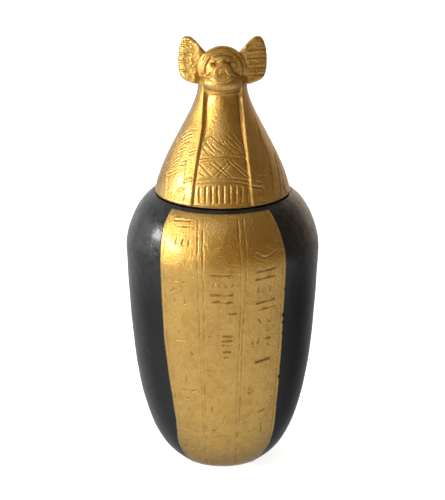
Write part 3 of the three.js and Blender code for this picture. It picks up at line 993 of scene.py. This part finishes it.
def hoop(shape, radius, thickness, centre, head, sides=56):
    """Adds a ring that faces the front, with its sizes in shares of the head's radius."""
    middle, unit = head
    axis = middle + unit * Vector(centre)
    section = bmesh.ops.create_circle(
        shape,
        segments=12,
        radius=thickness * unit,
        matrix=Matrix.Translation(axis + Vector((radius * unit, 0, 0))),
    )["verts"]
    edges = list({edge for vert in section for edge in vert.link_edges})
    bmesh.ops.spin(
        shape,
        geom=section + edges,
        cent=axis,
        axis=(0, 1, 0),
        angle=2 * math.pi,
        steps=sides,
        use_merge=True,
    )


def snout(shape, back, front, back_radius, front_radius, head):
    """Adds a tapered tube with a blunt round end."""
    middle, unit = head
    start, end = (middle + unit * Vector(place) for place in (back, front))
    axis = start - end
    turn = axis.to_track_quat("Z", "Y").to_matrix().to_4x4()
    made = bmesh.ops.create_cone(
        shape,
        cap_ends=True,
        segments=40,
        radius1=front_radius * unit,
        radius2=back_radius * unit,
        depth=axis.length,
        matrix=Matrix.Translation((start + end) / 2) @ turn,
    )["verts"]
    rim = [edge for edge in {edge for vert in made for edge in vert.link_edges}
           if all((vert.co - end).length < (front_radius + 0.05) * unit for vert in edge.verts)]
    bmesh.ops.bevel(shape, geom=rim, offset=0.6, segments=4, profile=0.5, affect="EDGES", material=-1)


EAR_OUTLINE = [(4.4, 143.6), (6.3, 145.4), (8.2, 147.7), (10.2, 149.4), (11.8, 149.85), (13.3, 149.2),
               (14.3, 147.2), (14.85, 144.2), (15.0, 141.1), (14.8, 138.3), (14.2, 136.1), (12.7, 134.9),
               (10.4, 134.2), (8.0, 133.7), (6.0, 133.6), (4.4, 135.0)]


def ear_plate(side, thickness):
    """A closed ear with rounded edges, standing across the head."""
    shape = bmesh.new()
    line = curved([*EAR_OUTLINE, EAR_OUTLINE[0]], 0.45)[:-1]
    corners = [shape.verts.new((side * x, -thickness / 2, z)) for x, z in line]
    face = shape.faces.new(corners)
    made = bmesh.ops.extrude_face_region(shape, geom=[face])["geom"]
    moved = [item for item in made if isinstance(item, bmesh.types.BMVert)]
    bmesh.ops.translate(shape, verts=moved, vec=(0, thickness, 0))
    rim = [edge for edge in shape.edges if abs(edge.verts[0].co.y - edge.verts[1].co.y) < 1e-4]
    bmesh.ops.bevel(shape, geom=rim, offset=0.8, segments=4, profile=0.5, affect="EDGES", material=-1)
    bmesh.ops.recalc_face_normals(shape, faces=shape.faces)
    return shape


def head_forms(sizes):
    """The head's overlapping forms in one mesh, before they are melted together."""
    unit = sizes.head_radius / MM
    head = (Vector((0, 0, (sizes.rim_height + sizes.wig_height) / MM + HEAD_RISE)), unit)
    shape = bmesh.new()
    ball(shape, (0, 0.1, 0), (1, 0.85, 0.94), head, 48)
    hoop(shape, 0.76, 0.075, (0, -0.45, 0.04), head)
    hoop(shape, 0.93, 0.065, (0, -0.18, 0.02), head)
    ball(shape, (0, -0.42, 0.52), (0.5, 0.36, 0.2), head)
    snout(shape, (0, -0.5, 0.0), (0, -1.47, 0.15), 0.46, 0.37, head)
    ball(shape, (0, -0.90, -0.16), (0.56, 0.55, 0.46), head)
    ball(shape, (0, -0.72, -0.42), (0.84, 0.72, 0.50), head, 40)
    ball(shape, (0, -0.74, -0.80), (0.78, 0.62, 0.13), head)
    for side in (-1, 1):
        ball(shape, (side * 0.46, -0.69, 0.32), (0.11, 0.09, 0.10), head, 16)
    for i in range(7):
        turn = math.radians(-48 + 16 * i)
        bead = (0.46 * math.sin(turn), -0.66, 0.22 + 0.40 * math.cos(turn))
        ball(shape, bead, (0.06, 0.07, 0.06), head, 12)
    bmesh.ops.recalc_face_normals(shape, faces=shape.faces)
    for side in (-1, 1):
        plate = ear_plate(side, sizes.ear_thickness / MM)
        mesh = mesh_from(plate, "ear")
        shape.from_mesh(mesh)
        bpy.data.meshes.remove(mesh)
    return mesh_from(shape, "head_forms"), head


def melted(mesh, voxel):
    """The one closed skin round overlapping forms."""
    carrier = bpy.data.objects.new("forms", mesh)
    bpy.context.scene.collection.objects.link(carrier)
    remesh = carrier.modifiers.new("melt", "REMESH")
    remesh.mode = "VOXEL"
    remesh.voxel_size = voxel
    smooth = carrier.modifiers.new("soften", "SMOOTH")
    smooth.factor = 0.5
    smooth.iterations = 4
    return applied(carrier)


def applied(carrier):
    """The mesh that an object's modifiers give, with the object removed."""
    shown = carrier.evaluated_get(bpy.context.evaluated_depsgraph_get())
    mesh = bpy.data.meshes.new_from_object(shown)
    old = carrier.data
    bpy.data.objects.remove(carrier)
    bpy.data.meshes.remove(old)
    return mesh


def union(first, second):
    """The two meshes joined into one closed skin, without slivers along the join."""
    carriers = []
    for mesh in (first, second):
        carrier = bpy.data.objects.new(mesh.name, mesh)
        bpy.context.scene.collection.objects.link(carrier)
        carriers.append(carrier)
    join = carriers[0].modifiers.new("join", "BOOLEAN")
    join.operation = "UNION"
    join.solver = "EXACT"
    join.object = carriers[1]
    mesh = applied(carriers[0])
    bpy.data.objects.remove(carriers[1])
    bpy.data.meshes.remove(second)
    shape = bmesh.new()
    shape.from_mesh(mesh)
    bmesh.ops.dissolve_degenerate(shape, dist=SLIVER, edges=shape.edges)
    bmesh.ops.triangulate(shape, faces=[face for face in shape.faces if len(face.verts) > 4])
    bpy.data.meshes.remove(mesh)
    return mesh_from(shape, "lid_forms")


def head_cuts(head):
    """Lines cut in the face and the ears, as places with width and depth."""
    middle, unit = head
    cuts = []

    def cut(*line, width=0.5, deep=0.3):
        places = np.array([middle + unit * Vector(place) for place in line])
        cuts.append((places, width, deep))

    around = np.linspace(0, 2 * math.pi, 17)
    for side in (-1, 1):
        eye = [(side * 0.46 + 0.17 * math.cos(a), -0.72, 0.32 + 0.15 * math.sin(a)) for a in around]
        cut(*eye, width=0.55, deep=0.22)
        cut((side * 0.09, -1.46, 0.24), (side * 0.19, -1.46, 0.10), width=0.6, deep=0.2)
        cheek = [(0.34, -1.28, 0.02), (0.50, -1.10, -0.10), (0.68, -0.92, -0.22), (0.84, -0.70, -0.34)]
        cut(*[(side * x, y, z) for x, y, z in cheek], width=0.9, deep=0.4)
    over = np.linspace(-0.3, math.pi + 0.3, 17)
    bridge = [(0.41 * math.cos(a), -1.24, 0.16 + 0.40 * math.sin(a)) for a in over]
    cut(*bridge, width=1.15, deep=0.5)
    mouth = [(x, -1.42 + 0.42 * x * x, -0.66 + 0.03 * x * x) for x in np.linspace(-0.78, 0.78, 15)]
    cut(*mouth, width=0.6, deep=0.35)
    return cuts


def ear_cuts():
    """Level grooves in the front of both ears, as places with width and depth."""
    cuts = []
    for side, places in ((-1, (148.0, 146.5, 143.7, 141.1, 138.1)), (1, (145.4, 142.6, 139.4, 137.0))):
        for height in places:
            inner = 11.0 if side < 0 else 8.6
            line = np.array([[side * inner, -1.5, height + 0.1], [side * 15.6, -1.2, height]])
            cuts.append((line, 1.0, 0.42))
    return cuts


def bulge(value, middle, width):
    """A soft hump of 1 where the value is at the middle."""
    return np.exp(-(((value - middle) / width) ** 2))


def bell_mesh(sizes, surface):
    """The lid without its head: spigot, wig, chest and their cut lines."""
    low, tall = sizes.rim_height / MM, sizes.wig_height / MM
    bell = turned_shell("bell", lid_shell(sizes), column_turns(*WIG_COLUMNS))
    points = read(bell, "co")
    outward = read(bell, "normal")
    outside = on_skin(points, surface, low + 0.15, low + tall + 0.5)
    share = (points[:, 2] - low) / tall
    front = points[:, 1] < 0
    inside_left = points[:, 0] + crease(share, -1)
    inside_right = crease(share, 1) - points[:, 0]
    recess = smoothstep(-0.1, 0.45, inside_left) * smoothstep(-0.25, 0.25, inside_right) * front
    recess *= 1 - smoothstep(0.94, 1.0, share)
    half_chest = np.minimum(np.abs(points[:, 0]) / crease(share, 1), 1)
    recess += 1.3 * half_chest**2 * smoothstep(0.42, 0.72, share) * recess
    trench = (0.30 * bulge(inside_left, 0.35, 0.3) + 0.12 * bulge(inside_right, 0.3, 0.3)) * front
    ridge = 0.22 * bulge(inside_right, -0.55, 0.5) * front
    depth, lip = carve(points, wig_cuts(sizes, surface))
    move = -sizes.chest_recess / MM * recess - depth + lip * 0.8 - trench + ridge
    lumps = lumpy(points, WIG_LUMPS) - WIG_SINK
    move = (move + lumps) * smoothstep(0.0, 0.9, points[:, 2] - low)
    write(bell, points + outward * np.where(outside, move, 0)[:, None])
    return bell


def head_mesh(sizes):
    """The head and the ears with their cut lines, and the head's middle and radius."""
    forms, head = head_forms(sizes)
    skull = melted(forms, HEAD_VOXEL)
    points = read(skull, "co")
    outward = read(skull, "normal")
    across = np.abs(points[:, 0])
    middle, height = EAR_MIDDLE
    dish = 1 - smoothstep(0.3, 1.0, np.hypot((across - middle) / 3.6, (points[:, 2] - height) / 7.0))
    facing = smoothstep(0.6, -0.2, outward[:, 1]) * (outward[:, 1] < 0)
    depth, lip = carve(points, head_cuts(head) + ear_cuts())
    move = (lip * 0.6 - depth - 0.5 * dish) * facing
    on_ear = smoothstep(EAR_ROOT, EAR_ROOT + 1.5, across)
    move += 0.05 * rough_field(points, 1.8, 5) + 0.1 * on_ear * rough_field(points, 0.9, 6) - 0.06
    points += outward * move[:, None]
    out = np.maximum(np.abs(points[:, 0]) - EAR_ROOT, 0)
    points[:, 1] += 0.045 * out**2 + 0.12 * (points[:, 2] - height) * smoothstep(0, 2, out)
    write(skull, points)
    return skull, head


def lid_cut_and_rim_shade(points, sizes, surface, head):
    """How deep each point lies in a cut line or close to the rim, from 0 to about 1, for brown that is
    partly grime and partly painted shade.
    """
    on_bell = points[:, 2] < (sizes.rim_height + sizes.wig_height) / MM
    cut = np.zeros(len(points))
    cut[on_bell] = carve(points[on_bell], wig_cuts(sizes, surface))[0]
    cut[~on_bell] = carve(points[~on_bell], head_cuts(head) + ear_cuts())[0]
    above_rim = points[:, 2] - sizes.rim_height / MM
    # Painted shade on the rim's lower edge, darkest on the underside below it
    return np.maximum(cut / (sizes.carving_depth / MM), 0.9 * (1 - smoothstep(0.2, 0.9, above_rim)))


class CANOPIC_OT_make_lid(bpy.types.Operator):
    """Makes the lid with its wig, chest, baboon head and ears"""

    bl_idname = "canopic.make_lid"
    bl_label = "Make lid"

    def execute(self, context):
        sizes = context.scene.canopic_lid
        surface = TurnedSurface(wig_outline(sizes))
        bell = bell_mesh(sizes, surface)
        skull, head = head_mesh(sizes)
        mesh = union(bell, skull)
        # Cut depth and nearness to the rim darken the gold: partly grime, partly painted shade
        write_attribute(mesh, "cut", lid_cut_and_rim_shade(read(mesh, "co"), sizes, surface, head))
        finish_piece(mesh, "figure_lid", "lid", lid_paint(context.scene.canopic_colours))
        return {"FINISHED"}


# The studio

FLOOR_HALF = 6.0

# The photograph's camera: distance, pitch, the height it aims at, and its lens in millimetres
CAMERA_DISTANCE = 0.75
CAMERA_PITCH = math.radians(18)
CAMERA_AIM = 0.0749
SENSOR_WIDTH = 36.0
FOCAL_LENGTH = 156.7

# Each light's name, azimuth, elevation, distance, size and colour
LIGHTS = (
    ("window", -73, 16, 0.4, (0.3, 0.062), (1.0, 0.985, 0.95)),
    ("ceiling", -20, 50, 0.8, (0.34, 0.3), (1.0, 0.94, 0.82)),
    ("side_window", -104, 5, 0.8, (0.5, 0.4), (0.97, 0.985, 1.0)),
)

# The flag's side view as (y, z), and how far it reaches across
FLAG_SIDE = [(-0.36, 0.05), (-0.38, 0.17), (-0.36, 0.31)]
FLAG_LEFT = -0.11
FLAG_WIDTH = 0.52


def soft_light(name, azimuth, elevation, distance, size, colour, power):
    """A soft light that faces the middle of the jar: azimuth 0 is the front, 90 is +X."""
    turn, rise = math.radians(azimuth), math.radians(elevation)
    middle = Vector((0, 0, 0.08))
    away = Vector((math.sin(turn) * math.cos(rise), -math.cos(turn) * math.cos(rise), math.sin(rise)))
    light = bpy.data.lights.new(name, "AREA")
    light.shape = "RECTANGLE"
    light.size, light.size_y = size
    light.energy = power
    light.color = colour
    lamp = bpy.data.objects.new(name, light)
    lamp.location = middle + away * distance
    lamp.rotation_euler = away.to_track_quat("Z", "Y").to_euler()
    bpy.context.scene.collection.objects.link(lamp)


def stage_piece(mesh, name, material):
    """An object that belongs to the studio and not to the jar."""
    mesh.materials.append(material)
    piece = bpy.data.objects.new(name, mesh)
    bpy.context.scene.collection.objects.link(piece)
    return piece


def studio_white():
    """The pale finish of the floor."""
    paint = Paint("studio_white")
    paint.set(
        Base_Color=(0.8, 0.8, 0.8),
        Roughness=0.8,
        Specular_IOR_Level=0.1,
        Emission_Color=(1.0, 1.0, 1.0),
        Emission_Strength=0.85,
    )
    return paint.material


def room_shade(colour):
    """A finish that reflects nothing and glows dimly in one colour."""
    paint = Paint("room_shade")
    paint.set(
        Base_Color=(0.0, 0.0, 0.0),
        Roughness=1.0,
        Specular_IOR_Level=0.0,
        Emission_Color=colour,
        Emission_Strength=1.0,
    )
    return paint.material


def front_flag():
    """A dark sheet that stands in front of the jar and bends over it, seen only in reflections."""
    sheet = bmesh.new()
    line = [sheet.verts.new((FLAG_LEFT, y, z)) for y, z in FLAG_SIDE]
    edges = [sheet.edges.new(pair) for pair in zip(line, line[1:])]
    made = bmesh.ops.extrude_edge_only(sheet, edges=edges)["geom"]
    moved = [item for item in made if isinstance(item, bmesh.types.BMVert)]
    bmesh.ops.translate(sheet, verts=moved, vec=(FLAG_WIDTH, 0, 0))
    return mesh_from(sheet, "front_flag")


def light_room(scene, studio):
    """The room round the jar: bright at the left, dim at the right, a pale table below, plain behind it."""
    world = bpy.data.worlds.new("room")
    world.use_nodes = True
    room = Nodes(world.node_tree)
    place = room.node("ShaderNodeTexCoord").outputs["Generated"]
    parts = room.node("ShaderNodeSeparateXYZ", Vector=place)
    across, back, up = (Value(room.tree, parts.outputs[axis]) for axis in "XYZ")
    walls = room.step(across, -0.35, 0.3, studio.left_room, studio.right_room)
    table = (1.0 - across * 0.22) * room.step(up, -1.0, -0.6, 0.68, 1.0) * studio.table
    table = table * room.step(back, -0.35, 0.3, 1.0, 0.42)
    table = table * room.step(across + back, 0.85, 1.25, 1.0, 0.5)
    behind = room.step(back, 0.45, 0.95) * room.step(up, -0.45, 0.1, 0.05, 0.5)
    behind = behind * room.step(across, -0.3, 0.3, 0.4, 1.5)
    above = room.step(up, -0.36, 0.02)
    strength = table + above * (walls - table) + behind
    seen = Value(room.tree, room.node("ShaderNodeLightPath").outputs["Is Camera Ray"])
    strength = strength + seen * (1.2 - strength)
    background = room.tree.nodes["Background"]
    warm = room.step(across, -0.3, 0.4) * above * (1.0 - seen)
    room.feed(background.inputs["Color"], room.mix(warm, (0.97, 0.985, 1.0), studio.right_colour))
    room.feed(background.inputs["Strength"], strength)
    scene.world = world


def photo_camera():
    """A camera at the photograph's height and angle, aimed at the middle of the jar."""
    lens = bpy.data.cameras.new("camera")
    lens.sensor_width = SENSOR_WIDTH
    lens.lens = FOCAL_LENGTH
    camera = bpy.data.objects.new("camera", lens)
    rise = CAMERA_DISTANCE * math.sin(CAMERA_PITCH)
    camera.location = (0, -CAMERA_DISTANCE * math.cos(CAMERA_PITCH), CAMERA_AIM + rise)
    camera.rotation_euler = (math.pi / 2 - CAMERA_PITCH, 0, 0)
    return camera


class CANOPIC_OT_make_studio(bpy.types.Operator):
    """Makes the pale floor, the dark flag, the soft lights, the room and the camera"""

    bl_idname = "canopic.make_studio"
    bl_label = "Make studio"

    def execute(self, context):
        studio = context.scene.canopic_studio
        plane = bmesh.new()
        bmesh.ops.create_grid(plane, x_segments=1, y_segments=1, size=FLOOR_HALF)
        floor = stage_piece(mesh_from(plane, "floor"), "floor", studio_white())
        floor.visible_diffuse = False
        floor.visible_glossy = False
        flag = stage_piece(front_flag(), "front_flag", room_shade(studio.front_shade))
        flag.visible_camera = False
        flag.visible_diffuse = False
        flag.visible_shadow = False
        for light in LIGHTS:
            soft_light(*light, getattr(studio, light[0]))
        light_room(context.scene, studio)
        context.scene.view_settings.view_transform = "Standard"
        camera = photo_camera()
        context.scene.collection.objects.link(camera)
        context.scene.camera = camera
        return {"FINISHED"}


class CANOPIC_PT_panel(bpy.types.Panel):
    """Lists the pieces and their sizes"""

    bl_idname = "CANOPIC_PT_panel"
    bl_label = "Canopic jar"
    bl_space_type = "VIEW_3D"
    bl_region_type = "UI"
    bl_category = "Canopic jar"

    def draw(self, context):
        for group, operator in (
            (context.scene.canopic_jar, "canopic.make_jar"),
            (context.scene.canopic_lid, "canopic.make_lid"),
            (context.scene.canopic_studio, "canopic.make_studio"),
        ):
            column = self.layout.column(align=True)
            for name in group.__annotations__:
                column.prop(group, name)
            column.operator(operator)
        column = self.layout.column()
        for name in PaintColours.__annotations__:
            column.prop(context.scene.canopic_colours, name)


CLASSES = (
    JarSizes,
    LidSizes,
    PaintColours,
    StudioSettings,
    CANOPIC_OT_make_jar,
    CANOPIC_OT_make_lid,
    CANOPIC_OT_make_studio,
    CANOPIC_PT_panel,
)
GROUPS = {
    "canopic_jar": JarSizes,
    "canopic_lid": LidSizes,
    "canopic_colours": PaintColours,
    "canopic_studio": StudioSettings,
}


def register():
    for item in CLASSES:
        bpy.utils.register_class(item)
    for name, group in GROUPS.items():
        setattr(bpy.types.Scene, name, PointerProperty(type=group))


def unregister():
    for name in GROUPS:
        delattr(bpy.types.Scene, name)
    for item in reversed(CLASSES):
        bpy.utils.unregister_class(item)


def main():
    register()
    bpy.ops.canopic.make_jar()
    bpy.ops.canopic.make_lid()
    bpy.ops.canopic.make_studio()


if __name__ == "__main__":
    main()
